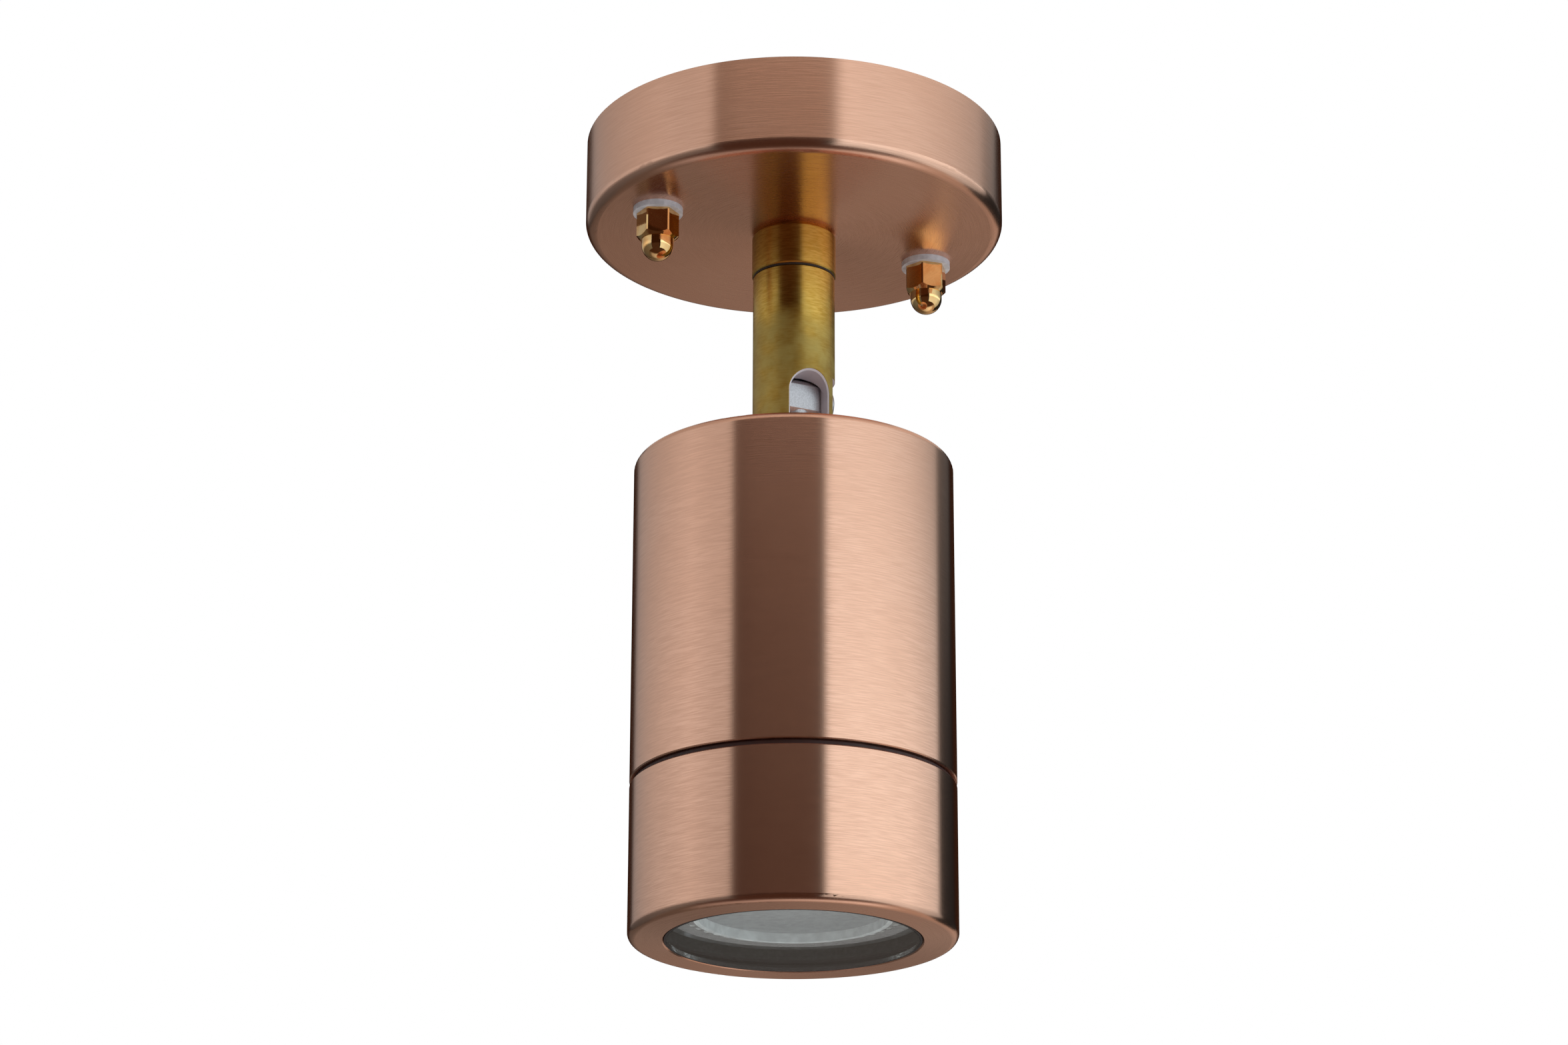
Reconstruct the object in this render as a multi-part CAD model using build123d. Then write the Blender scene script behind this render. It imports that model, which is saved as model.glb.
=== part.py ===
from build123d import *
import os
from math import hypot, radians, sin, sqrt

# Outdoor wall spotlight. Millimetres, +Z towards the wall, the wall face at Z = 0.
# The head hangs towards -Z and tilts towards -Y. The two dome nuts and the tilt pivot lie along X.

# Canopy, collar and stem
canopy_diameter = 80.0
canopy_depth = 18.5
canopy_edge = 2.2
canopy_wall = 1.5
canopy_face = 2.0
nut_inset = 11.25
collar_diameter = 16.0
collar_length = 8.7
collar_wall = 2.0
stem_diameter = 15.6
pivot_depth = 52.9
stem_below_pivot = 7.6
slot_width = 7.9
slot_edge = 0.4

# Lamp, a 50 mm reflector type on a two-pin base
lamp_diameter = 50.0
lamp_length = 54.0
pin_spacing = 10.0
pin_length = 7.0
vent_count = 46

# Head and front ring
lamp_side_gap = 1.2
spigot_wall = 2.2
front_ring_wall = 1.6
shell_wall = 2.0
shell_plate = 3.0
shell_length = 61.8
seam_height = 1.0
front_ring_length = 28.5
front_opening_diameter = 46.8
lip_thickness = 1.5
gasket_thickness = 0.5
gasket_wall = 0.6
glass_thickness = 4.0
lamp_front_gap = 2.0

# Fits and gaps
thread_gap = 0.05
running_gap = 0.05
loose_gap = 0.3
bolt_gap = 0.15
edge_break = 0.2
soft_edge = 0.3

# Fasteners
m3_radius = 1.5
m3_head_radius = 2.5
m3_head_height = 1.5
m4_radius = 2.0
m4_head_radius = 3.5
m4_head_height = 2.4
m4_nut_width = 7.0
m4_nut_height = 3.2
screw_edge_share = 0.4
screw_slot_share = 0.12
m10_radius = 5.0
m10_nut_width = 15.0
m10_nut_height = 4.0
dome_nut_width = 7.1
dome_nut_hex_height = 5.4
dome_nut_height = 9.5
dome_radius = 3.05
dome_nut_turns = (-24.5, -8.5)
dome_nut_corner_trim = 0.1
dome_nut_chamfer = 0.8
dome_overlap = 1.0
stud_washer_diameter = 9.4
stud_washer_thickness = 1.1

# Mounting strap
strap_thickness = 1.5
strap_width = 14.0
strap_end = 5.25
strap_step = 4.0
strap_step_run = 3.0
wall_slot_length = 9.0
wall_slot_width = 4.5
cable_hole_diameter = 10.0

# Leads: three single cores side by side
lead_radius = 0.7
lead_pitch = 1.8
eyelet_radius = 4.0
eyelet_thickness = 0.8
eyelet_length = 10.0
barrel_radius = 1.5
barrel_length = 5.0
barrel_overlap = 1.0

# Places worked out from the sizes above
canopy_radius = canopy_diameter / 2
canopy_inside = canopy_radius - canopy_wall
canopy_bottom = -canopy_depth
canopy_ceiling = canopy_bottom + canopy_face
washer_bottom = canopy_bottom - stud_washer_thickness
nut_x = canopy_radius - nut_inset
strap_front = -strap_step - strap_thickness
collar_bottom = canopy_bottom - collar_length
collar_radius = collar_diameter / 2
stem_radius = stem_diameter / 2
pivot_z = -pivot_depth
lamp_radius = lamp_diameter / 2
head_radius = lamp_radius + lamp_side_gap + spigot_wall + front_ring_wall
cores = ("line", "neutral", "earth")
lead_x = dict(zip(cores, (-lead_pitch, 0.0, lead_pitch)))


# Shapes used throughout
def disc(radius, low, high):
    return Pos(0, 0, (low + high) / 2) * Cylinder(radius, high - low)


def tube(outer, inner, low, high):
    return disc(outer, low, high) - disc(inner, low, high)


def block(x_range, y_range, z_range):
    ranges = (x_range, y_range, z_range)
    middle = [(low + high) / 2 for low, high in ranges]
    return Pos(*middle) * Box(*[high - low for low, high in ranges])


def hexagon(width, low, high, turn=0):
    outline = RegularPolygon(width / sqrt(3), 6, rotation=turn)
    return Pos(0, 0, low) * extrude(outline, high - low)


def bar_x(radius, low, high, z=0):
    return Pos((low + high) / 2, 0, z) * Rot(0, 90, 0) * Cylinder(radius, high - low)


def bar_y(radius, low, high, x=0, z=0):
    return Pos(x, (low + high) / 2, z) * Rot(90, 0, 0) * Cylinder(radius, high - low)


def hex_socket(width, depth):
    return extrude(RegularPolygon(width / sqrt(3), 6), depth)


def pair(shape, x):
    return [Pos(-x, 0, 0) * shape, Pos(x, 0, 0) * shape]


def round_edges(shape, z):
    return shape.edges().filter_by(GeomType.CIRCLE).filter_by_position(Axis.Z, z - 0.01, z + 0.01)


def outer_edge(shape, z):
    return round_edges(shape, z).sort_by(SortBy.RADIUS)[-1]


def pan_screw(radius, head_radius, head_height, length):
    """Slotted screw, its head's underside at Z = 0 and its shank towards +Z."""
    head = disc(head_radius, -head_height, 0)
    head = fillet(outer_edge(head, -head_height), head_height * screw_edge_share)
    half = head_radius * screw_slot_share
    slot = block((-head_radius, head_radius), (-half, half), (-head_height, -head_height / 2))
    return head - slot + disc(radius, 0, length)


def m10_nut(low):
    high = low + m10_nut_height
    return hexagon(m10_nut_width, low, high) - disc(m10_radius + thread_gap, low, high)


def eyelet():
    """Ring terminal on an M4 screw along Z, with its crimped barrel towards +X, below the plate."""
    barrel_start = eyelet_length - barrel_length
    tag = disc(eyelet_radius, -eyelet_thickness, 0)
    tag += block((0, eyelet_length - barrel_overlap), (-barrel_radius, barrel_radius), (-eyelet_thickness, 0))
    tag += bar_x(barrel_radius, barrel_start, eyelet_length, z=-barrel_radius)
    tag -= bar_x(lead_radius + running_gap, barrel_start, eyelet_length, z=-barrel_radius)
    return tag - disc(m4_radius + bolt_gap, -eyelet_thickness, 0)


def swept_lead(points, bend):
    path = FilletPolyline(*points, radius=bend)
    return sweep(Plane(path @ 0, z_dir=path % 0) * Circle(lead_radius), path)


# Canopy and what fixes it to the wall
stud_head_height = 2.6
stud_tip_gap = 1.0
dome_thread_past_hex = 2.4
gasket_width = 3.3
gasket_height = 3.0


def make_canopy():
    cup = disc(canopy_radius, canopy_bottom, 0)
    cup = fillet(outer_edge(cup, canopy_bottom), canopy_edge)
    hollow = disc(canopy_inside, canopy_ceiling, 0)
    cup -= fillet(outer_edge(hollow, canopy_ceiling), canopy_edge - canopy_wall)
    cup -= pair(disc(m4_radius + bolt_gap, canopy_bottom, canopy_ceiling), nut_x)
    return cup - disc(m10_radius + bolt_gap, canopy_bottom, canopy_ceiling)


def make_wall_gasket():
    return tube(canopy_inside, canopy_inside - gasket_width, -gasket_height, 0)


def make_canopy_studs():
    tip = washer_bottom - dome_nut_hex_height - dome_thread_past_hex + stud_tip_gap
    screw = pan_screw(m4_radius, m4_head_radius, stud_head_height, -strap_step - tip)
    return pair(Pos(0, 0, -strap_step) * Rot(180, 0, 0) * screw, nut_x)


def make_stud_lock_nuts():
    low = strap_front - m4_nut_height
    nut = hexagon(m4_nut_width, low, strap_front)
    return pair(nut - disc(m4_radius + thread_gap, low, strap_front), nut_x)


def make_stud_washers():
    return pair(tube(stud_washer_diameter / 2, m4_radius + bolt_gap, washer_bottom, canopy_bottom), nut_x)


def make_dome_nut(turn):
    hex_bottom = washer_bottom - dome_nut_hex_height
    dome_middle = washer_bottom - dome_nut_height + dome_radius
    corner_radius = dome_nut_width / sqrt(3)
    corner_trim = disc(corner_radius - dome_nut_corner_trim, hex_bottom, washer_bottom)
    corner_trim = chamfer(outer_edge(corner_trim, hex_bottom), dome_nut_chamfer)
    nut = hexagon(dome_nut_width, hex_bottom, washer_bottom, turn) & corner_trim
    nut += disc(dome_radius, dome_middle, hex_bottom + dome_overlap)
    nut += Pos(0, 0, dome_middle) * Sphere(dome_radius)
    return nut - disc(m4_radius + thread_gap, hex_bottom - dome_thread_past_hex, washer_bottom)


def make_dome_nuts():
    return [Pos(x, 0, 0) * make_dome_nut(turn) for x, turn in zip((-nut_x, nut_x), dome_nut_turns)]


# Terminal block, on a tab of the strap
pole_pitch = 9.0
pole_count = len(cores)
block_end_margin = 4.5
block_depth = 15.0
block_height = 9.5
block_y = -20.5
pole_below_strap = 4.0
insert_radius = 2.15
insert_bore = 1.5
insert_length = 13.0
clamp_offset = 3.5
clamp_screw_radius = 1.25
clamp_screw_inset = 0.8
clamp_slot_half = 0.3
clamp_slot_depth = 0.8
block_corner = 1.0
block_notch = 1.0
block_notch_depth = 2.5
block_screw_past = 1.0
block_screw_x = -pole_pitch / 2
block_low = strap_front - block_height
block_front_y = block_y + block_depth / 2
pole_z = strap_front - pole_below_strap
pole_x = {core: (i - 1) * pole_pitch for i, core in enumerate(cores)}
clamp_places = [(x, block_y + side * clamp_offset) for x in pole_x.values() for side in (-1, 1)]


def make_terminal_block():
    half_x = (pole_count - 1) * pole_pitch / 2 + block_end_margin
    y_range = (block_y - block_depth / 2, block_front_y)
    body = block((-half_x, half_x), y_range, (block_low, strap_front))
    body = fillet(body.edges().filter_by(Axis.Z), block_corner)
    for x in pole_x.values():
        body -= bar_y(insert_radius, *y_range, x=x, z=pole_z)
    for x, y in clamp_places:
        body -= Pos(x, y, 0) * disc(clamp_screw_radius + loose_gap, block_low, pole_z)
    for side in (-1, 1):
        notch_x = side * pole_pitch / 2
        notch = (notch_x - block_notch / 2, notch_x + block_notch / 2)
        body -= block(notch, y_range, (block_low, block_low + block_notch_depth))
    return body - Pos(block_screw_x, block_y, 0) * disc(m3_radius + bolt_gap, block_low, strap_front)


def make_terminal_inserts():
    half = insert_length / 2
    inserts = []
    for x in pole_x.values():
        insert = bar_y(insert_radius, block_y - half, block_y + half, x=x, z=pole_z)
        inserts.append(insert - bar_y(insert_bore, block_y - half, block_y + half, x=x, z=pole_z))
    hole = disc(clamp_screw_radius + thread_gap, pole_z - insert_radius, pole_z)
    holes = [Pos(x, y, 0) * hole for x, y in clamp_places]
    return [insert - holes for insert in inserts]


def make_terminal_screws():
    low = block_low + clamp_screw_inset
    screw = disc(clamp_screw_radius, low, pole_z - lead_radius - running_gap)
    slot_y = (-clamp_slot_half, clamp_slot_half)
    screw -= block((-clamp_screw_radius, clamp_screw_radius), slot_y, (low, low + clamp_slot_depth))
    return [Pos(x, y, 0) * screw for x, y in clamp_places]


def make_block_screw():
    length = block_height + strap_thickness + block_screw_past
    screw = pan_screw(m3_radius, m3_head_radius, m3_head_height, length)
    return Pos(block_screw_x, block_y, block_low) * screw


# Mounting strap, its earth screw and tag
earth_screw_y = 14.0
earth_screw_past = 2.0
tab_bend_start = 8.0
block_tab_inset = 2.0
stud_head_room = 0.75
slot_end_land = 1.0
strap_flat_half = nut_x - m4_head_radius - strap_step_run - stud_head_room
wall_slot_x = strap_flat_half - wall_slot_length / 2 - slot_end_land


def stepped_strip(flat_half, reach):
    """Strip along +X, flat on the wall near the middle and stepped off it towards its end."""
    bend_shift = strap_thickness / 2
    outline = Polyline(
        (0, 0),
        (flat_half, 0),
        (flat_half + strap_step_run, -strap_step),
        (reach, -strap_step),
        (reach, strap_front),
        (flat_half + strap_step_run - bend_shift, strap_front),
        (flat_half - bend_shift, -strap_thickness),
        (0, -strap_thickness),
        close=True,
    )
    return extrude(Plane.XZ * make_face(outline), strap_width / 2, both=True)


def make_mounting_strap():
    arm = stepped_strip(strap_flat_half, nut_x + strap_end)
    earth_tab = stepped_strip(tab_bend_start, earth_screw_y + eyelet_radius)
    block_tab = stepped_strip(tab_bend_start, -block_y + block_depth / 2 - block_tab_inset)
    strap = arm + [Rot(0, 0, 180) * arm, Rot(0, 0, 90) * earth_tab, Rot(0, 0, -90) * block_tab]
    wall_slot = extrude(SlotOverall(wall_slot_length, wall_slot_width), -strap_thickness)
    strap -= pair(wall_slot, wall_slot_x)
    strap -= pair(disc(m4_radius + bolt_gap, strap_front, -strap_step), nut_x)
    strap -= disc(cable_hole_diameter / 2, -strap_thickness, 0)
    strap -= Pos(0, earth_screw_y, 0) * disc(m4_radius + thread_gap, strap_front, -strap_step)
    return strap - Pos(block_screw_x, block_y, 0) * disc(m3_radius + thread_gap, strap_front, -strap_step)


def make_earth_tag():
    return Pos(0, earth_screw_y, strap_front) * eyelet()


def make_earth_screw():
    length = eyelet_thickness + strap_thickness + earth_screw_past
    screw = pan_screw(m4_radius, m4_head_radius, m4_head_height, length)
    return Pos(0, earth_screw_y, strap_front - eyelet_thickness) * screw


# Collar, held in the canopy by a nut, and the swivel inside it
collar_chamfer = 0.8
collar_washer_radius = 9.0
collar_washer_thickness = 1.0
collar_seal_depth = 0.7
neck_past_nut = 1.0
neck_wall = 1.5
swivel_washer_thickness = 0.35
spigot_height = 5.5
groove_depth = 0.9
groove_height = 2.0
groove_above_collar_end = 1.8
groove_land_angle = 4.0
grub_tip_radius = 0.8
grub_inset = 0.3
grub_gap = 0.2
grub_socket_depth = 1.1
seal_width = 1.2
seal_offset = 0.7
washer_bore_gap = 0.2
neck_bore = m10_radius - neck_wall
neck_top = canopy_ceiling + collar_washer_thickness + m10_nut_height + neck_past_nut
spigot_radius = collar_radius - collar_wall - running_gap
spigot_top = collar_bottom + spigot_height
groove_low = collar_bottom + groove_above_collar_end
groove_high = groove_low + groove_height
groove_radius = spigot_radius - groove_depth
grub_z = (groove_low + groove_high) / 2
stem_top = collar_bottom - swivel_washer_thickness - running_gap


def thread_seal(low, high):
    inner = m10_radius + seal_offset
    return tube(inner + seal_width, inner, low, high)


def make_collar():
    collar = disc(collar_radius, collar_bottom, canopy_bottom)
    collar = chamfer(outer_edge(collar, canopy_bottom), collar_chamfer)
    collar = chamfer(outer_edge(collar, collar_bottom), edge_break)
    collar += disc(m10_radius, canopy_bottom, neck_top)
    collar -= disc(spigot_radius + running_gap, collar_bottom, spigot_top + loose_gap)
    collar -= disc(neck_bore, collar_bottom, neck_top)
    collar -= thread_seal(canopy_bottom - collar_seal_depth, canopy_bottom)
    return collar - bar_y(m3_radius + thread_gap, neck_bore, collar_radius, z=grub_z)


def make_collar_seal():
    return thread_seal(canopy_bottom - collar_seal_depth, canopy_bottom)


def make_collar_washer():
    high = canopy_ceiling + collar_washer_thickness
    return tube(collar_washer_radius, m10_radius + bolt_gap, canopy_ceiling, high)


def make_collar_nut():
    return m10_nut(canopy_ceiling + collar_washer_thickness)


def make_swivel_grub_screw():
    shoulder = spigot_radius + grub_gap
    outer_end = collar_radius - grub_inset
    screw = bar_y(m3_radius, shoulder, outer_end, z=grub_z)
    screw += bar_y(grub_tip_radius, groove_radius + grub_gap, shoulder, z=grub_z)
    return screw - Pos(0, outer_end, grub_z) * Rot(90, 0, 0) * hex_socket(m3_radius, grub_socket_depth)


def make_swivel_washer():
    return tube(stem_radius, spigot_radius + washer_bore_gap, stem_top, stem_top + swivel_washer_thickness)


# Stem, slotted at its lower end for the knuckle arm
tongue_side_gap = 0.1
tongue_past_slot = 0.5
tongue_flat_step = 0.2
channel_rise = 15.0
lead_room = 0.1
slot_half = slot_width / 2
tongue_half = slot_half - tongue_side_gap
tongue_radius = slot_half + tongue_past_slot
tongue_flat = slot_half - tongue_flat_step
pocket_radius = tongue_radius + loose_gap
lead_back_y = pocket_radius + lead_radius + lead_room
stem_bore = lead_pitch + lead_radius + 2 * lead_room
channel_back = lead_back_y + lead_radius + lead_room
channel_top = pivot_z + channel_rise
stem_bottom = pivot_z - stem_below_pivot
screw_head_radius = 3.5
screw_head_height = 1.6
screw_land = 1.45
screw_flat_room = 0.6
screw_end_wall = 1.5
socket_width = 2.5
socket_depth = 1.4
stem_chamfer = 0.4
screw_seat = slot_half + screw_land
screw_face = screw_seat + screw_head_height
screw_end = stem_radius - screw_end_wall
screw_flat_top = screw_head_radius + screw_flat_room


def make_stem():
    stem = disc(stem_radius, stem_bottom, stem_top)
    stem = chamfer(outer_edge(stem, stem_bottom), stem_chamfer)
    stem = chamfer(outer_edge(stem, stem_top), edge_break)
    stem += disc(spigot_radius, stem_top, spigot_top)
    stem -= stem_groove()
    stem -= disc(stem_bore, pivot_z, spigot_top)
    stem -= Pos(0, 0, pivot_z) * stem_slot()
    stem = chamfer(slot_outline(stem), slot_edge)
    stem -= block((-stem_bore, stem_bore), (0, channel_back), (stem_bottom, channel_top))
    stem -= Pos(0, 0, pivot_z) * screw_cuts()
    return stem


def slot_outline(stem):
    """Edges where the slot breaks through the front of the stem."""
    front = block((-slot_half, slot_half), (-stem_radius, -spigot_radius), (stem_bottom, pivot_z + slot_half))
    return stem.edges().filter_by(lambda edge: front.is_inside(edge @ 0.5, tolerance=0.01))


def screw_cuts():
    """Flat and clear hole for the screw's head on one side, and a blind thread on the other."""
    cuts = block((screw_seat, stem_radius), (-stem_radius, stem_radius), (-stem_below_pivot, screw_flat_top))
    cuts += bar_x(m4_radius + bolt_gap, 0, screw_seat)
    return cuts + bar_x(m4_radius + thread_gap, -screw_end, 0)


def stem_groove():
    """Groove for the grub screw, nearly all round: the land left at the front is the swivel's stop."""
    ring = tube(spigot_radius + 1, groove_radius, groove_low, groove_high)
    reach = 2 * spigot_radius
    side = reach * sin(radians(groove_land_angle))
    land = make_face(Polyline((0, 0), (-side, -reach), (side, -reach), close=True))
    return ring - Pos(0, 0, groove_low) * extrude(land, groove_height)


def stem_slot():
    """Slot with an arch top at the front, a round back, and a wider round pocket for the tongue."""
    front = bar_y(slot_half, -stem_radius, 0)
    front += block((-slot_half, slot_half), (-stem_radius, 0), (-stem_below_pivot, 0))
    back = disc(slot_half, -stem_below_pivot, 0)
    return front + back + bar_x(pocket_radius, -slot_half, slot_half)


def make_pivot_screw():
    head = bar_x(screw_head_radius, screw_seat, screw_face)
    head = chamfer(head.edges().filter_by(GeomType.CIRCLE).sort_by(Axis.X)[-1], soft_edge)
    screw = head + bar_x(m4_radius, -screw_end, screw_seat)
    screw -= Pos(screw_face, 0, 0) * Rot(0, -90, 0) * hex_socket(socket_width, socket_depth)
    return Pos(0, 0, pivot_z) * screw


# Knuckle arm and what clamps it to the head
flange_gap = 0.7
flange_radius = 8.0
flange_thickness = 1.7
arm_seal_depth = 0.8
bracket_thickness = 1.2
arm_past_nut = 0.8
arm_bore = lead_pitch + lead_radius + lead_room
arm_bore_top = pivot_z - slot_half - lead_room
arm_window_height = 4.9
arm_neck_radius = slot_half - loose_gap
flange_top = pivot_z - hypot(stem_radius, stem_below_pivot) - flange_gap
head_top = flange_top - flange_thickness
plate_inside = head_top - shell_plate
bracket_bottom = plate_inside - bracket_thickness
arm_end = bracket_bottom - m10_nut_height - arm_past_nut


def make_knuckle_arm():
    flats = Box(2 * tongue_half, 2 * tongue_flat, 2 * tongue_radius)
    flats = chamfer(flats.edges().filter_by(Axis.Z), soft_edge)
    tongue = bar_x(tongue_radius, -tongue_half, tongue_half) & flats
    flange = disc(flange_radius, head_top, flange_top)
    arm = Pos(0, 0, pivot_z) * tongue
    arm += disc(arm_neck_radius, flange_top, pivot_z)
    arm += chamfer(outer_edge(flange, flange_top), soft_edge)
    arm += disc(m10_radius, arm_end, head_top)
    arm -= disc(arm_bore, arm_end, arm_bore_top)
    arm -= block((-arm_bore, arm_bore), (0, tongue_radius), (arm_bore_top - arm_window_height, arm_bore_top))
    arm -= thread_seal(head_top, head_top + arm_seal_depth)
    return arm - bar_x(m4_radius + running_gap, -tongue_half, tongue_half, z=pivot_z)


def make_arm_seal():
    return thread_seal(head_top, head_top + arm_seal_depth)


def make_arm_nut():
    return m10_nut(bracket_bottom - m10_nut_height)


# Head shell, front ring and glass
spigot_length = 9.0
spigot_taper_start = 7.0
seam_ring_width = 0.9
head_top_fillet = 1.3
front_fillet = 1.4
gasket_back_reach = 2.3
glass_inset = 0.1
glass_edge_gap = 0.5
sleeve_inset = 0.1
spacer_side_gap = 0.8
shell_bottom = head_top - shell_length
shell_inside = head_radius - shell_wall
thread_radius = head_radius - front_ring_wall
spigot_inside = thread_radius - spigot_wall
spigot_bottom = shell_bottom - spigot_length
ring_top = shell_bottom - seam_height
ring_inside = thread_radius + thread_gap
head_bottom = ring_top - front_ring_length
lip_top = head_bottom + lip_thickness
gasket_bottom = lip_top + running_gap
gasket_radius = ring_inside - loose_gap
glass_bottom = gasket_bottom + gasket_thickness
glass_top = glass_bottom + glass_thickness
glass_radius = gasket_radius - gasket_wall
opening_radius = front_opening_diameter / 2
glass_step_radius = opening_radius - glass_edge_gap
spacer_bottom = glass_top + gasket_thickness


def make_head_shell():
    shell = disc(head_radius, shell_bottom, head_top)
    shell = fillet(outer_edge(shell, head_top), head_top_fillet)
    shell = chamfer(outer_edge(shell, shell_bottom), edge_break)
    shell += disc(thread_radius, spigot_bottom, shell_bottom)
    slope = shell_inside - spigot_inside
    slope_low = shell_bottom + spigot_taper_start
    shell -= disc(shell_inside, slope_low + slope, plate_inside)
    shell -= Pos(0, 0, slope_low + slope / 2) * Cone(spigot_inside, shell_inside, slope)
    shell -= disc(spigot_inside, spigot_bottom, slope_low)
    return shell - disc(m10_radius + bolt_gap, plate_inside, head_top)


def make_body_o_ring():
    ring = tube(thread_radius + seam_ring_width, thread_radius, ring_top + running_gap, shell_bottom)
    return fillet(outer_edge(ring, shell_bottom), soft_edge)


def make_front_ring():
    ring = disc(head_radius, head_bottom, ring_top)
    ring = fillet(outer_edge(ring, head_bottom), front_fillet)
    ring = chamfer(outer_edge(ring, ring_top), edge_break)
    ring -= disc(ring_inside, lip_top, ring_top)
    ring -= disc(opening_radius, head_bottom, lip_top)
    return chamfer(round_edges(ring, head_bottom).sort_by(SortBy.RADIUS)[0], soft_edge)


def make_front_gasket():
    """Channel-shaped ring round the edge of the glass, with a sleeve that lines the opening."""
    sleeve_bottom = head_bottom + sleeve_inset
    gasket = disc(gasket_radius, gasket_bottom, spacer_bottom)
    gasket += disc(opening_radius - running_gap, sleeve_bottom, gasket_bottom)
    gasket -= disc(glass_step_radius + running_gap, sleeve_bottom, glass_bottom)
    gasket -= disc(glass_radius, glass_bottom, glass_top)
    return gasket - disc(gasket_radius - gasket_back_reach, glass_top, spacer_bottom)


def make_lens_glass():
    """Stepped disc, its smaller front nearly flush with the ring's face."""
    face = head_bottom + glass_inset
    glass = disc(glass_radius, glass_bottom, glass_top)
    glass = chamfer(outer_edge(glass, glass_bottom), soft_edge)
    glass = chamfer(outer_edge(glass, glass_top), soft_edge)
    return glass + disc(glass_step_radius, face, glass_bottom)


def make_lens_spacer():
    high = spigot_bottom - running_gap
    return tube(gasket_radius, lamp_radius + spacer_side_gap, spacer_bottom, high)


# Lamp
pin_radius_thin = 1.55
pin_head_radius = 2.5
pin_head_height = 2.8
pin_head_chamfer = 0.5
lamp_base_radius = 12.5
lamp_base_height = 8.0
lamp_base_chamfer = 0.8
lamp_base_step = 1.0
lamp_waist_radius = 14.5
lamp_waist_drop = 2.5
lamp_rim_height = 12.0
flare_share = 0.8
flare_drop = 2.0
bezel_fillet = 0.6
vent_inset = 1.4
lens_radius = 17.2
lens_recess = 1.4
lens_thickness = 1.6
trim_width = 1.0
trim_stand = 0.2
bezel_depth = 1.8
vent_length = 1.9
vent_width = 1.1
lamp_front = glass_top + lamp_front_gap
lens_front = lamp_front + lens_recess
lens_back = lens_front + lens_thickness
lamp_base_top = lamp_front + lamp_length - pin_length
lamp_base_bottom = lamp_base_top - lamp_base_height
bezel_top = lamp_front + bezel_depth
trim_outer = lens_radius + trim_width
vent_radius = trim_outer + vent_inset


def make_lamp_pins():
    tip = lamp_base_top + pin_length
    head = disc(pin_head_radius, tip - pin_head_height, tip)
    head = chamfer(outer_edge(head, tip), pin_head_chamfer)
    return pair(head + disc(pin_radius_thin, lamp_base_top, tip - pin_head_height), pin_spacing / 2)


def make_lamp_base():
    base = disc(lamp_base_radius, lamp_base_bottom, lamp_base_top)
    return chamfer(outer_edge(base, lamp_base_top), lamp_base_chamfer)


def make_lamp_body():
    rim_top = bezel_top + lamp_rim_height
    waist_z = lamp_base_bottom - lamp_waist_drop
    waist = (lamp_waist_radius, waist_z)
    flare = Spline(
        (lamp_radius, rim_top),
        (lamp_radius * flare_share, (rim_top + waist_z) / 2 - flare_drop),
        waist,
        tangents=[(0, 1), (-0.3, 1)],
    )
    rest = Polyline(
        waist,
        (lamp_base_radius + lamp_base_step, lamp_base_bottom),
        (0, lamp_base_bottom),
        (0, bezel_top),
        (lamp_radius, bezel_top),
        (lamp_radius, rim_top),
    )
    body = revolve(Plane.XZ * make_face(Curve() + [flare, rest]), Axis.Z)
    return body - disc(trim_outer, bezel_top, lens_back)


def make_lamp_bezel():
    bezel_face = lamp_front + trim_stand
    bezel = tube(lamp_radius, trim_outer, bezel_face, bezel_top)
    bezel = fillet(outer_edge(bezel, bezel_face), bezel_fillet)
    vent = Rot(0, 0, 90) * extrude(SlotOverall(vent_length, vent_width), bezel_depth)
    vent = Pos(vent_radius, 0, lamp_front) * vent
    return bezel - [Rot(0, 0, i * 360 / vent_count) * vent for i in range(vent_count)]


def make_lamp_trim_ring():
    return tube(trim_outer, lens_radius, lamp_front - trim_stand, lens_back)


def make_lamp_lens():
    lens = disc(lens_radius, lens_front, lens_back)
    return fillet(outer_edge(lens, lens_front), soft_edge)


# Lampholder, its bracket and the head's earth tag
holder_radius = 13.5
holder_height = 14.0
ear_reach = 24.5
ear_half_width = 5.5
ear_thickness = 3.0
ear_drop = 5.8
ear_corner = 3.0
holder_chamfer = 1.0
holder_screw_past = 1.5
leg_x = 17.0
bracket_half_width = 6.0
holder_screw_x = 21.0
pocket_depth = 9.7
pocket_sweep = 25
pocket_side_gap = 0.7
contact_thickness = 0.5
contact_gap = 0.02
contact_inset = 1.2
contact_half_width = 0.9
contact_reach = 12.7
lead_pocket_radius = 1.3
earth_post_x = 13.0
lamp_pocket_radius = pin_head_radius + pocket_side_gap
holder_front = lamp_base_top + loose_gap
holder_back = holder_front + holder_height
ear_top = holder_back - ear_drop
ear_low = ear_top - ear_thickness
contact_x = pin_spacing / 2 + pin_head_radius + contact_gap + contact_thickness / 2
contact_top = holder_front + contact_reach


def make_holder_bracket():
    width = (-bracket_half_width, bracket_half_width)
    leg_outside = leg_x + bracket_thickness
    foot_high = ear_top + bracket_thickness
    side = block((0, leg_outside), width, (bracket_bottom, plate_inside))
    side += block((leg_x, leg_outside), width, (ear_top, plate_inside))
    side += block((leg_x, ear_reach), width, (ear_top, foot_high))
    side -= Pos(holder_screw_x, 0, 0) * disc(m3_radius + thread_gap, ear_top, foot_high)
    bracket = side + Rot(0, 0, 180) * side
    bracket -= disc(m10_radius + bolt_gap, bracket_bottom, plate_inside)
    return bracket - Pos(earth_post_x, 0, 0) * disc(m4_radius + thread_gap, bracket_bottom, plate_inside)


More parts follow.
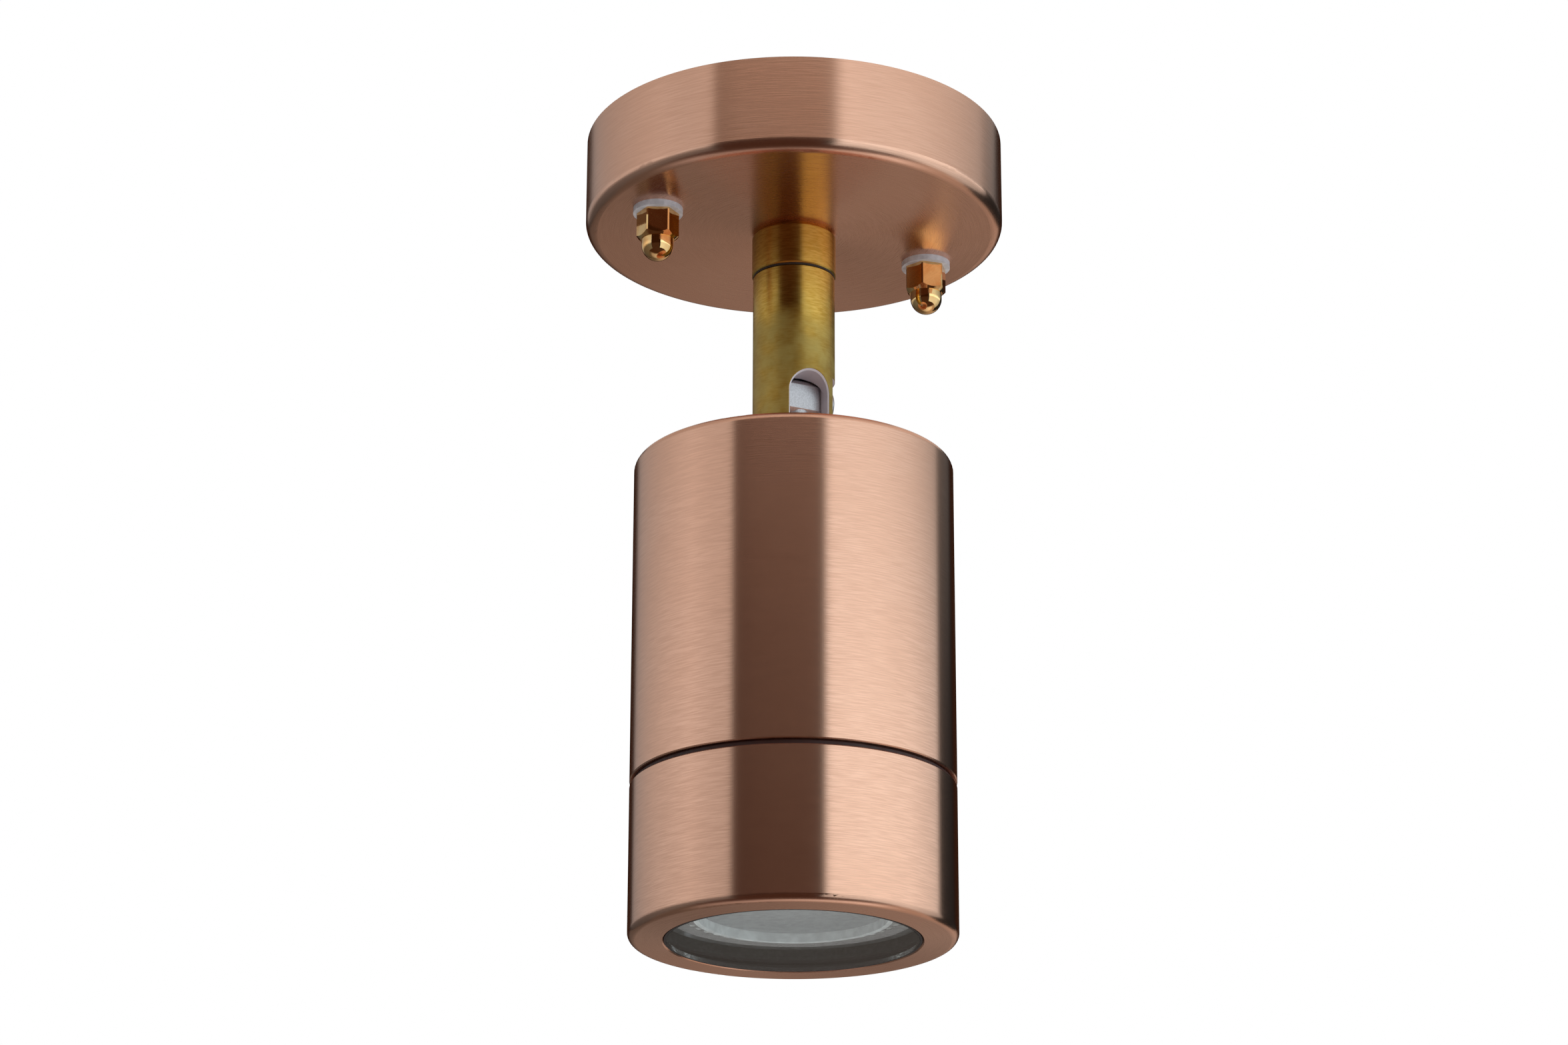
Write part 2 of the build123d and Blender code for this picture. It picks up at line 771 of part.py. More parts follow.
def make_bracket_earth_tag():
    return Pos(earth_post_x, 0, bracket_bottom) * Rot(0, 0, -90) * eyelet()


def make_bracket_earth_screw():
    screw = pan_screw(m4_radius, m4_head_radius, m4_head_height, eyelet_thickness + bracket_thickness)
    return Pos(earth_post_x, 0, bracket_bottom - eyelet_thickness) * screw


def make_lampholder():
    holder = disc(holder_radius, holder_front, holder_back)
    holder = chamfer(outer_edge(holder, holder_back), holder_chamfer)
    ears = block((-ear_reach, ear_reach), (-ear_half_width, ear_half_width), (ear_low, ear_top))
    holder += fillet(ears.edges().filter_by(Axis.Z), ear_corner)
    pocket_line = CenterArc((0, 0), pin_spacing / 2, 0, pocket_sweep)
    pocket = extrude(SlotArc(pocket_line, 2 * lamp_pocket_radius), pocket_depth)
    lead_pocket = disc(lead_pocket_radius, holder_front + pocket_depth, holder_back)
    for turn in (0, 180):
        holder -= Pos(0, 0, holder_front) * Rot(0, 0, turn) * pocket
    holder -= pair(lead_pocket, contact_x)
    return holder - pair(disc(m3_radius + bolt_gap, ear_low, ear_top), holder_screw_x)


def make_lampholder_contacts():
    half = contact_thickness / 2
    width = (-contact_half_width, contact_half_width)
    strip = block((-half, half), width, (holder_front + contact_inset, contact_top))
    return pair(strip, contact_x)


def make_lampholder_screws():
    length = ear_thickness + bracket_thickness + holder_screw_past
    screw = pan_screw(m3_radius, m3_head_radius, m3_head_height, length)
    return pair(Pos(0, 0, ear_low) * screw, holder_screw_x)


# Leads, each in three stiff lengths that end at the swivel and at the tilt pivot
lead_end_gap = 0.4
lead_inset = 0.5
swivel_split_rise = 3.5
pole_grip = 2.5
pole_exit = 1.5
lead_over_strap = 0.7
base_lead_bend = 4.5
link_bend = 4.0
link_side_x = 18.0
link_side_y = 2.0
link_side_rise = 1.0
link_turn_x = 17.0
stem_lead_bend = 5.0
stem_lead_rise = 1.0
stem_lead_drop = 9.0
window_lead_y = 2.9
window_lead_gap = 0.9
window_lead_drop = 4.6
head_lead_bend = 2.0
head_lead_rise = 2.9
tag_lead_bend = 1.5
tag_lead_below_arm = 1.5
tag_lead_x = 6.0
tag_lead_y = -13.0
tag_lead_end_y = -14.0
swivel_split = spigot_top + swivel_split_rise
stem_lead_end = pivot_z - slot_half
head_lead_start = stem_lead_end - window_lead_gap
earth_pair_shift = lead_radius + running_gap
barrel_entry = eyelet_length - barrel_length + lead_inset


def pole_entry(x):
    return [(x, block_y + pole_grip, pole_z), (x, block_front_y + pole_exit, pole_z)]


def make_base_lead(core):
    pole = pole_x[core] - (earth_pair_shift if core == "earth" else 0)
    x = lead_x[core]
    turn = [(x, 0, strap_front + lead_over_strap), (x, 0, swivel_split + lead_end_gap / 2)]
    return swept_lead(pole_entry(pole) + turn, base_lead_bend)


def make_earth_link():
    barrel_z = strap_front - barrel_radius
    route = [
        (link_side_x, link_side_y, pole_z + link_side_rise),
        (link_turn_x, earth_screw_y, barrel_z),
        (barrel_entry, earth_screw_y, barrel_z),
    ]
    return swept_lead(pole_entry(pole_x["earth"] + earth_pair_shift) + route, link_bend)


def make_stem_lead(core):
    x = lead_x[core]
    points = [
        (x, 0, swivel_split - lead_end_gap / 2),
        (x, 0, channel_top + stem_lead_rise),
        (x, lead_back_y, channel_top - stem_lead_drop),
        (x, lead_back_y, stem_lead_end),
    ]
    return swept_lead(points, stem_lead_bend)


def lead_from_window(x):
    return [(x, window_lead_y, head_lead_start), (x, 0, head_lead_start - window_lead_drop)]


def make_head_lead(core):
    x = lead_x[core]
    side = -contact_x if core == "line" else contact_x
    turn_z = holder_back + head_lead_rise
    route = [(x, 0, turn_z), (side, 0, turn_z), (side, 0, contact_top)]
    return swept_lead(lead_from_window(x) + route, head_lead_bend)


def make_head_earth_lead():
    x = lead_x["earth"]
    tag_z = bracket_bottom - barrel_radius
    turn_z = arm_end - tag_lead_below_arm
    route = [
        (x, 0, turn_z),
        (tag_lead_x, tag_lead_y, turn_z),
        (earth_post_x, tag_lead_end_y, tag_z),
        (earth_post_x, -barrel_entry, tag_z),
    ]
    return swept_lead(lead_from_window(x) + route, tag_lead_bend)


def all_nodes():
    nodes = {
        "canopy": make_canopy(),
        "wall_gasket": make_wall_gasket(),
        "mounting_strap": make_mounting_strap(),
        "canopy_studs": make_canopy_studs(),
        "stud_lock_nuts": make_stud_lock_nuts(),
        "stud_washers": make_stud_washers(),
        "dome_nuts": make_dome_nuts(),
        "earth_tag": make_earth_tag(),
        "earth_screw": make_earth_screw(),
        "earth_link_lead": make_earth_link(),
        "terminal_block": make_terminal_block(),
        "terminal_inserts": make_terminal_inserts(),
        "terminal_screws": make_terminal_screws(),
        "terminal_block_screw": make_block_screw(),
        "collar": make_collar(),
        "collar_seal": make_collar_seal(),
        "collar_washer": make_collar_washer(),
        "collar_nut": make_collar_nut(),
        "swivel_grub_screw": make_swivel_grub_screw(),
        "swivel_washer": make_swivel_washer(),
        "stem": make_stem(),
        "pivot_screw": make_pivot_screw(),
        "knuckle_arm": make_knuckle_arm(),
        "arm_seal": make_arm_seal(),
        "arm_nut": make_arm_nut(),
        "head_shell": make_head_shell(),
        "body_o_ring": make_body_o_ring(),
        "front_ring": make_front_ring(),
        "front_gasket": make_front_gasket(),
        "lens_glass": make_lens_glass(),
        "lens_spacer": make_lens_spacer(),
        "lamp_pins": make_lamp_pins(),
        "lamp_base": make_lamp_base(),
        "lamp_body": make_lamp_body(),
        "lamp_bezel": make_lamp_bezel(),
        "lamp_trim_ring": make_lamp_trim_ring(),
        "lamp_lens": make_lamp_lens(),
        "holder_bracket": make_holder_bracket(),
        "bracket_earth_tag": make_bracket_earth_tag(),
        "bracket_earth_screw": make_bracket_earth_screw(),
        "lampholder": make_lampholder(),
        "lampholder_contacts": make_lampholder_contacts(),
        "lampholder_screws": make_lampholder_screws(),
    }
    for core in cores:
        nodes[f"{core}_lead_base"] = make_base_lead(core)
        nodes[f"{core}_lead_stem"] = make_stem_lead(core)
        nodes[f"{core}_lead_head"] = make_head_earth_lead() if core == "earth" else make_head_lead(core)
    return nodes


def solids_of(shape):
    shapes = shape if isinstance(shape, list) else [shape]
    return [solid for each in shapes for solid in each.solids()]


os.makedirs("parts", exist_ok=True)
for name, shape in all_nodes().items():
    solids = solids_of(shape)
    node = solids[0] if len(solids) == 1 else Compound(children=solids)
    export_step(node, f"parts/{name}.step")
    print(name, len(solids), round(sum(solid.volume for solid in solids), 1))
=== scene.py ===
from math import cos, radians, sin

import bpy
from mathutils import Matrix, Vector

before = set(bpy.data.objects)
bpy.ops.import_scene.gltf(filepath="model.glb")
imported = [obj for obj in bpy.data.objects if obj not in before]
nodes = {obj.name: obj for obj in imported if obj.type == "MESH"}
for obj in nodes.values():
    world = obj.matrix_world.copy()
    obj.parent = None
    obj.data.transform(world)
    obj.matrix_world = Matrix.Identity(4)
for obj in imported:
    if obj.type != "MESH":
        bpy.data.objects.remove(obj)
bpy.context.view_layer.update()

# The photograph's camera. It stands below the object, to the left of its front.
photo_width = 2352
focal_pixels = 6009.4
sensor_width = 36.0
nearest_seen = 0.05
camera_place = Vector((-0.3148, -0.6313, -0.3324))
camera_azimuth = 26.5
camera_aim_offset = 0.143
camera_turn = radians(camera_azimuth - camera_aim_offset)
camera_pitch = radians(19.905)
camera_roll = radians(0.114)
camera_side = radians(-90.0 - camera_azimuth)

# Places on the object, in metres from its axis and from the wall
tarnish_start_height = -0.031
tarnish_full_height = -0.043
stem_cut_radius = 0.00772
stem_cut_top = -0.04
vent_outer_radius = 0.0225
vent_floor_height = -0.1491

# Studio: a floor, two tall soft panels curved round the object, a third overhead, and a soft sky
studio_radius = 1.2
panel_steps = 148
panel_fade = 4.0
panel_top = 0.62
overhead_top = 1.5
floor_height = -0.9
floor_half_width = 6.0
floor_glow = 0.25
floor_seen_glow = 0.6


def make_camera():
    forward = Vector((
        sin(camera_turn) * cos(camera_pitch),
        cos(camera_turn) * cos(camera_pitch),
        sin(camera_pitch),
    ))
    level = Vector((cos(camera_turn), -sin(camera_turn), 0))
    upright = level.cross(forward)
    right = level * cos(camera_roll) + upright * sin(camera_roll)
    up = right.cross(forward)
    data = bpy.data.cameras.new("photo_camera")
    data.sensor_width = sensor_width
    data.lens = sensor_width * focal_pixels / photo_width
    data.clip_start = nearest_seen
    camera = bpy.data.objects.new("photo_camera", data)
    turn = Matrix((right, up, -forward)).transposed().to_4x4()
    camera.matrix_world = Matrix.Translation(camera_place) @ turn
    bpy.context.scene.collection.objects.link(camera)
    bpy.context.scene.camera = camera


# Node helpers
def add(tree, kind, inputs=None, **settings):
    """A new shader node. Its inputs are numbers, colours or other nodes' outputs."""
    made = tree.nodes.new(kind)
    for name, value in settings.items():
        setattr(made, name, value)
    for socket, value in (inputs or {}).items():
        if isinstance(value, bpy.types.NodeSocket):
            tree.links.new(value, made.inputs[socket])
        else:
            made.inputs[socket].default_value = value
    return made


def math(tree, operation, first, second=0.0, third=0.0, clamp=False):
    inputs = {0: first, 1: second, 2: third}
    return add(tree, "ShaderNodeMath", inputs, operation=operation, use_clamp=clamp).outputs[0]


def vector_math(tree, operation, first, second=(0, 0, 0), result="Vector"):
    inputs = {0: first, 1: second}
    return add(tree, "ShaderNodeVectorMath", inputs, operation=operation).outputs[result]


def ramp(tree, value, low, high, low_result=0.0, high_result=1.0):
    """value taken smoothly from low..high to low_result..high_result."""
    inputs = {"Value": value, 1: low, 2: high, 3: low_result, 4: high_result}
    kind = "ShaderNodeMapRange"
    return add(tree, kind, inputs, interpolation_type="SMOOTHSTEP").outputs[0]


def mix_color(tree, share, first, second):
    inputs = {0: share, 6: first, 7: second}
    return add(tree, "ShaderNodeMix", inputs, data_type="RGBA").outputs[2]


def mix_shader(tree, share, first, second):
    return add(tree, "ShaderNodeMixShader", {0: share, 1: first, 2: second}).outputs[0]


def place_of(tree):
    return add(tree, "ShaderNodeTexCoord").outputs["Object"]


def z_of(tree, vector):
    return add(tree, "ShaderNodeSeparateXYZ", {0: vector}).outputs["Z"]


def level_part(tree, vector):
    return vector_math(tree, "MULTIPLY", vector, (1, 1, 0))


def radius_of(tree, place):
    return vector_math(tree, "LENGTH", level_part(tree, place), result="Value")


def noise(tree, vector, scale, detail=3.0):
    inputs = {"Vector": vector, "Scale": scale, "Detail": detail}
    return add(tree, "ShaderNodeTexNoise", inputs).outputs[0]


def hairlines(tree, streaks, lines):
    """Noise drawn out into fine lines round the Z axis: streaks to a turn, lines to a metre."""
    place = place_of(tree)
    round_place = vector_math(tree, "NORMALIZE", level_part(tree, place))
    around = vector_math(tree, "MULTIPLY", round_place, (streaks, streaks, 0))
    along = vector_math(tree, "MULTIPLY", place, (0, 0, lines))
    vector = vector_math(tree, "ADD", around, along)
    outward = math(tree, "MULTIPLY", radius_of(tree, place), lines)
    inputs = {"Vector": vector, "W": outward, "Scale": 1.0, "Detail": 2.0}
    return add(tree, "ShaderNodeTexNoise", inputs, noise_dimensions="4D").outputs[0]


def seen_straight(tree):
    """1 for what the camera sees directly or through glass, 0 for light and for mirror images in metal."""
    path = add(tree, "ShaderNodeLightPath")
    return math(tree, "MAXIMUM", path.outputs["Is Camera Ray"], path.outputs["Is Transmission Ray"])


def new_material(name, metallic=0.0, roughness=0.5):
    material = bpy.data.materials.new(name)
    material.use_nodes = True
    tree = material.node_tree
    shader = tree.nodes["Principled BSDF"]
    shader.inputs["Metallic"].default_value = metallic
    shader.inputs["Roughness"].default_value = roughness
    return material, tree, shader


def feed(tree, shader, socket, value):
    tree.links.new(value, shader.inputs[socket])


def bump(tree, shader, height, strength, distance):
    inputs = {"Height": height, "Strength": strength, "Distance": distance}
    feed(tree, shader, "Normal", add(tree, "ShaderNodeBump", inputs).outputs[0])


def turned_finish(tree, shader, anisotropy):
    """Highlights spread across the lathe lines, which run round Z."""
    quarter_turn = 0.25
    tangent = add(tree, "ShaderNodeTangent", direction_type="RADIAL", axis="Z").outputs[0]
    feed(tree, shader, "Tangent", tangent)
    shader.inputs["Anisotropic"].default_value = anisotropy
    shader.inputs["Anisotropic Rotation"].default_value = quarter_turn


def darker(color, share):
    return tuple(channel * share for channel in color[:3]) + (1,)


# Materials
def brushed_copper():
    """Copper turned on a lathe. Its flat faces are a little rougher than its sides."""
    pale_copper = (0.87, 0.51, 0.365, 1)
    deep_copper = (0.84, 0.475, 0.33, 1)
    line_copper = (0.79, 0.45, 0.315, 1)
    fine_share = 0.8
    broad_share = 0.2
    flat_roughness = 0.03
    material, tree, shader = new_material("brushed_copper", metallic=1.0)
    turned_finish(tree, shader, anisotropy=0.88)
    normal = add(tree, "ShaderNodeTexCoord").outputs["Normal"]
    flat = ramp(tree, math(tree, "ABSOLUTE", z_of(tree, normal)), 0.85, 0.98)
    fine = math(tree, "MULTIPLY", hairlines(tree, streaks=7.0, lines=5200.0), fine_share)
    broad = math(tree, "MULTIPLY", hairlines(tree, streaks=3.0, lines=1100.0), broad_share)
    lines = math(tree, "ADD", fine, broad)
    blotches = noise(tree, place_of(tree), scale=55.0, detail=4.0)
    worn = mix_color(tree, ramp(tree, blotches, 0.35, 0.7), pale_copper, deep_copper)
    feed(tree, shader, "Base Color", mix_color(tree, ramp(tree, lines, 0.35, 0.65), line_copper, worn))
    rough = ramp(tree, lines, 0.3, 0.7, low_result=0.25, high_result=0.215)
    feed(tree, shader, "Roughness", math(tree, "MULTIPLY_ADD", flat, flat_roughness, rough))
    bump(tree, shader, lines, strength=0.1, distance=0.0001)
    return material


def stem_stain(tree, place, mottle):
    """How tarnished the stem is, from 0 to 1: stains all over, and more of them lower down."""
    low_share = 0.8
    mottle_share = 0.9
    cloud_share = 0.8
    stain_threshold = -0.9
    clouds = noise(tree, place, scale=90.0, detail=3.0)
    stain = math(tree, "MULTIPLY_ADD", clouds, cloud_share, stain_threshold)
    stain = math(tree, "MULTIPLY_ADD", mottle, mottle_share, stain)
    low = ramp(tree, z_of(tree, place), tarnish_start_height, tarnish_full_height)
    return math(tree, "ADD", math(tree, "MULTIPLY", low, low_share), stain, clamp=True)


def stem_brass():
    """Clean under the canopy, tarnished lower down, and bare grey metal where it was cut."""
    deep_brass = (0.66, 0.37, 0.06, 1)
    pale_brass = (0.84, 0.54, 0.13, 1)
    deep_tarnish = (0.27, 0.18, 0.03, 1)
    pale_tarnish = (0.47, 0.36, 0.1, 1)
    bare_metal = (0.84, 0.8, 0.86, 1)
    material, tree, shader = new_material("stem_brass", metallic=1.0)
    turned_finish(tree, shader, anisotropy=0.4)
    place = place_of(tree)
    lines = hairlines(tree, streaks=5.0, lines=4200.0)
    mottle = noise(tree, place, scale=260.0, detail=5.0)
    dull = stem_stain(tree, place, mottle)
    clean = mix_color(tree, ramp(tree, lines, 0.3, 0.7), deep_brass, pale_brass)
    tarnish = mix_color(tree, ramp(tree, mottle, 0.35, 0.65), deep_tarnish, pale_tarnish)
    brass = mix_color(tree, dull, clean, tarnish)
    within = math(tree, "LESS_THAN", radius_of(tree, place), stem_cut_radius)
    cut = math(tree, "MULTIPLY", within, math(tree, "LESS_THAN", z_of(tree, place), stem_cut_top))
    feed(tree, shader, "Base Color", mix_color(tree, cut, brass, bare_metal))
    metal = ramp(tree, dull, 0.2, 1.0, low_result=1.0, high_result=0.6)
    bare = ramp(tree, cut, 0.0, 1.0, low_result=1.0, high_result=0.3)
    feed(tree, shader, "Metallic", math(tree, "MULTIPLY", metal, bare))
    feed(tree, shader, "Roughness", ramp(tree, dull, 0.0, 1.0, low_result=0.32, high_result=0.52))
    bump(tree, shader, lines, strength=0.1, distance=0.0001)
    return material


def polished_brass():
    bright_gold = (0.95, 0.62, 0.28, 1)
    deep_gold = (0.86, 0.47, 0.18, 1)
    material, tree, shader = new_material("polished_brass", metallic=1.0)
    place = place_of(tree)
    specks = noise(tree, place, scale=1800.0, detail=3.0)
    film = noise(tree, place, scale=400.0, detail=3.0)
    feed(tree, shader, "Base Color", mix_color(tree, ramp(tree, film, 0.4, 0.7), bright_gold, deep_gold))
    feed(tree, shader, "Roughness", ramp(tree, film, 0.35, 0.75, low_result=0.04, high_result=0.1))
    bump(tree, shader, specks, strength=0.05, distance=0.0001)
    return material


def satin_metal(name, color, roughness):
    """Metal with a fine dull grain."""
    material, tree, shader = new_material(name, metallic=1.0)
    grain = noise(tree, place_of(tree), scale=3500.0, detail=2.0)
    grained = mix_color(tree, ramp(tree, grain, 0.3, 0.7), darker(color, 0.82), color)
    feed(tree, shader, "Base Color", grained)
    rough = ramp(tree, grain, 0.3, 0.7, low_result=roughness + 0.08, high_result=roughness - 0.04)
    feed(tree, shader, "Roughness", rough)
    bump(tree, shader, grain, strength=0.08, distance=0.0001)
    return material


def zinc_plate():
    """Sheet steel with the flakes of a zinc coat."""
    dark_flake = (0.5, 0.52, 0.53, 1)
    pale_flake = (0.68, 0.69, 0.68, 1)
    material, tree, shader = new_material("zinc_plate", metallic=1.0)
    flakes = add(tree, "ShaderNodeTexVoronoi", {"Vector": place_of(tree), "Scale": 420.0}).outputs["Color"]
    tone = add(tree, "ShaderNodeSeparateColor", {0: flakes}).outputs[0]
    feed(tree, shader, "Base Color", mix_color(tree, tone, dark_flake, pale_flake))
    feed(tree, shader, "Roughness", ramp(tree, tone, 0.0, 1.0, low_result=0.32, high_result=0.46))
    return material


def moulded(name, color, roughness, grain=900.0, depth=0.25, shine=0.5):
    """Rubber, plastic or ceramic with a fine moulded grain."""
    material, tree, shader = new_material(name)
    shader.inputs["Specular IOR Level"].default_value = shine
    texture = noise(tree, place_of(tree), scale=grain, detail=4.0)
    grained = mix_color(tree, ramp(tree, texture, 0.3, 0.7), darker(color, 0.75), color)
    feed(tree, shader, "Base Color", grained)
    rough = ramp(tree, texture, 0.3, 0.7, low_result=roughness - 0.06, high_result=roughness + 0.08)
    feed(tree, shader, "Roughness", rough)
    bump(tree, shader, texture, strength=depth, distance=0.0002)
    return material


def green_yellow():
    """Earth lead: green with yellow bands."""
    green = (0.05, 0.3, 0.06, 1)
    yellow = (0.75, 0.62, 0.05, 1)
    material, tree, shader = new_material("lead_green_yellow", roughness=0.35)
    waves = add(tree, "ShaderNodeTexWave", {"Vector": place_of(tree), "Scale": 220.0}).outputs["Fac"]
    feed(tree, shader, "Base Color", mix_color(tree, ramp(tree, waves, 0.45, 0.55), green, yellow))
    return material


def window_glass():
    """Clear glass with a little dust, which lets the studio's light through to the lamp."""
    clear_tint = (0.97, 1.0, 1.0, 1)
    material, tree, shader = new_material("window_glass")
    shader.inputs["Base Color"].default_value = (1, 1, 1, 1)
    shader.inputs["Transmission Weight"].default_value = 1.0
    shader.inputs["IOR"].default_value = 1.15
    dust = noise(tree, place_of(tree), scale=500.0, detail=4.0)
    feed(tree, shader, "Roughness", ramp(tree, dust, 0.4, 0.8, low_result=0.02, high_result=0.07))
    path = add(tree, "ShaderNodeLightPath")
    through = math(tree, "MAXIMUM", path.outputs["Is Shadow Ray"], path.outputs["Is Diffuse Ray"])
    clear = add(tree, "ShaderNodeBsdfTransparent", {"Color": clear_tint}).outputs[0]
    both = mix_shader(tree, through, shader.outputs[0], clear)
    feed(tree, tree.nodes["Material Output"], "Surface", both)
    return material


def lamp_bezel():
    """Dark plastic, with painted light in the vents: their walls are coloured pale."""
    dark_plastic = (0.13, 0.13, 0.127, 1)
    worn_plastic = (0.19, 0.19, 0.185, 1)
    # Painted light: a pale colour for the vents' walls, which lie in shade.
    vent_painted_light = (0.8, 0.8, 0.78, 1)
    material, tree, shader = new_material("lamp_bezel", roughness=0.6)
    place = place_of(tree)
    grain = noise(tree, place, scale=900.0, detail=4.0)
    plastic = mix_color(tree, ramp(tree, grain, 0.3, 0.7), dark_plastic, worn_plastic)
    # Painted light: bezel surfaces within the vent radius and above the vent floor get the pale colour,
    # standing in for light where the vents lie in shade.
    within = math(tree, "LESS_THAN", radius_of(tree, place), vent_outer_radius)
    above = math(tree, "GREATER_THAN", z_of(tree, place), vent_floor_height)
    vent_light_mask = math(tree, "MULTIPLY", within, above)
    feed(tree, shader, "Base Color", mix_color(tree, vent_light_mask, plastic, vent_painted_light))
    bump(tree, shader, grain, strength=0.2, distance=0.0002)
    return material


def lamp_lens():
    """Frosted plastic lens with a pattern of small dimples."""
    dimple_grey = (0.19, 0.206, 0.214, 1)
    frost_grey = (0.25, 0.266, 0.274, 1)
    material, tree, shader = new_material("lamp_lens", roughness=0.4)
    shader.inputs["Specular IOR Level"].default_value = 0.2
    cells = add(tree, "ShaderNodeTexVoronoi", {"Vector": place_of(tree), "Scale": 620.0}).outputs["Distance"]
    feed(tree, shader, "Base Color", mix_color(tree, ramp(tree, cells, 0.1, 0.8), dimple_grey, frost_grey))
    bump(tree, shader, cells, strength=0.35, distance=0.0004)
    return material


def dress():
    copper = brushed_copper()
    brass = stem_brass()
    gold = polished_brass()
    steel = satin_metal("satin_steel", (0.6, 0.58, 0.6, 1), roughness=0.34)
    tin = satin_metal("tinned_copper", (0.72, 0.71, 0.69, 1), roughness=0.34)
    plated = satin_metal("plated_brass", (0.72, 0.66, 0.5, 1), roughness=0.26)
    zinc = zinc_plate()
    washer = moulded("pale_nylon", (0.86, 0.83, 0.88, 1), roughness=0.4, grain=700.0, depth=0.1)
    # The trim is pale plastic, and its colour is partly painted light: it is lifted to near white to make up
    # for the little light reaching it inside the head.
    trim = moulded("lamp_trim", (0.97, 1.0, 1.0, 1), roughness=0.35, grain=500.0, depth=0.05)
    spacer_grey = (0.08, 0.08, 0.077, 1)
    spacer = moulded("grey_anodised", spacer_grey, roughness=0.6, grain=1500.0, depth=0.1, shine=0.1)
    rubber = moulded("black_rubber", (0.035, 0.03, 0.03, 1), roughness=0.62)
    o_ring = moulded("dark_red_rubber", (0.05, 0.012, 0.008, 1), roughness=0.55)
    nylon = moulded("dark_nylon", (0.04, 0.02, 0.012, 1), roughness=0.55)
    lamp_shell = moulded("lamp_shell", (0.74, 0.77, 0.78, 1), roughness=0.45)
    ceramic = moulded("holder_ceramic", (0.82, 0.8, 0.73, 1), roughness=0.3, grain=300.0, depth=0.1)
    block = moulded("block_nylon", (0.8, 0.8, 0.77, 1), roughness=0.42)
    brown = moulded("lead_brown", (0.2, 0.09, 0.04, 1), roughness=0.38)
    blue = moulded("lead_blue", (0.05, 0.16, 0.5, 1), roughness=0.38)
    earth = green_yellow()
    looks = {
        copper: ["canopy", "head_shell", "front_ring"],
        brass: ["collar", "stem"],
        gold: ["dome_nuts"],
        steel: [
            "canopy_studs", "stud_lock_nuts", "earth_screw", "terminal_block_screw", "collar_washer",
            "collar_nut", "swivel_grub_screw", "pivot_screw", "knuckle_arm", "arm_nut",
            "bracket_earth_screw", "lampholder_screws",
        ],
        washer: ["stud_washers"],
        tin: ["earth_tag", "bracket_earth_tag"],
        plated: ["lamp_pins", "lampholder_contacts", "terminal_inserts", "terminal_screws"],
        trim: ["lamp_trim_ring"],
        spacer: ["lens_spacer"],
        zinc: ["mounting_strap", "holder_bracket"],
        rubber: ["wall_gasket", "collar_seal", "arm_seal", "front_gasket"],
        o_ring: ["body_o_ring"],
        nylon: ["swivel_washer"],
        lamp_shell: ["lamp_body", "lamp_base"],
        lamp_bezel(): ["lamp_bezel"],
        lamp_lens(): ["lamp_lens"],
        window_glass(): ["lens_glass"],
        ceramic: ["lampholder"],
        block: ["terminal_block"],
        brown: ["line_lead_base", "line_lead_stem", "line_lead_head"],
        blue: ["neutral_lead_base", "neutral_lead_stem", "neutral_lead_head"],
        earth: ["earth_lead_base", "earth_lead_stem", "earth_lead_head", "earth_link_lead"],
    }
    for material, names in looks.items():
        for name in names:
            for slot in nodes[name].material_slots:
                slot.material = material


# The studio
def blend(points, at):
    """Value at a place along (place, value) points, in straight lines between them."""
    for (low, first), (high, second) in zip(points, points[1:]):
        if at <= high:
            return first + (second - first) * max(at - low, 0) / (high - low)
    return points[-1][1]


def glowing(name, color):
    """Material that glows by the strength stored on each point of the mesh."""
    material = bpy.data.materials.new(name)
    material.use_nodes = True
    tree = material.node_tree
    tree.nodes.clear()
    level = add(tree, "ShaderNodeAttribute", attribute_name="strength").outputs["Fac"]
    light = add(tree, "ShaderNodeEmission", {"Color": color, "Strength": level}).outputs[0]
    add(tree, "ShaderNodeOutputMaterial", {"Surface": light})
    return material


def curved_panel(name, color, rows):
    """Light panel round the object. Each row is a height and the light's strength there, as (degrees to the
    right of the camera's side, strength) points. The panel fades out at both ends."""
    turns = [turn for turn, strength in rows[0][1]]
    first, last = turns[0], turns[-1]
    points = []
    levels = []
    for i in range(panel_steps + 1):
        turn = first + (last - first) * i / panel_steps
        fade = min(1.0, (turn - first) / panel_fade, (last - turn) / panel_fade)
        angle = camera_side + radians(turn)
        for height, around in rows:
            points.append((studio_radius * cos(angle), studio_radius * sin(angle), height))
            levels.append(blend(around, turn) * fade)
    faces = []
    for i in range(panel_steps):
        for k in range(len(rows) - 1):
            at = i * len(rows) + k
            faces.append((at, at + 1, at + len(rows) + 1, at + len(rows)))
    mesh = bpy.data.meshes.new(name)
    mesh.from_pydata(points, [], faces)
    mesh.attributes.new("strength", "FLOAT", "POINT").data.foreach_set("value", levels)
    mesh.materials.append(glowing(name, color))
    panel = bpy.data.objects.new(name, mesh)
    panel.visible_camera = False
    panel.visible_shadow = False
    bpy.context.scene.collection.objects.link(panel)


def make_left_panel():
    dark = [(-150, 0.08), (-95, 0.15), (-41, 0.18)]
    low = [(-150, 0.33), (-135, 0.44), (-110, 0.69), (-92, 0.85), (-76, 1.0), (-54, 0.8), (-41, 0.74)]
    middle = [(-150, 0.32), (-135, 0.42), (-110, 0.49), (-92, 0.59), (-76, 0.67), (-54, 0.64), (-41, 0.57)]
    high = [(-150, 0.2), (-122, 0.33), (-95, 0.45), (-80, 0.53), (-54, 0.585), (-41, 0.6)]
    rows = [
        (floor_height, dark), (-0.1, dark), (0.14, low), (0.22, low), (0.4, middle), (panel_top, high),
    ]
    curved_panel("left_panel", (1.0, 1.04, 1.06, 1), rows)


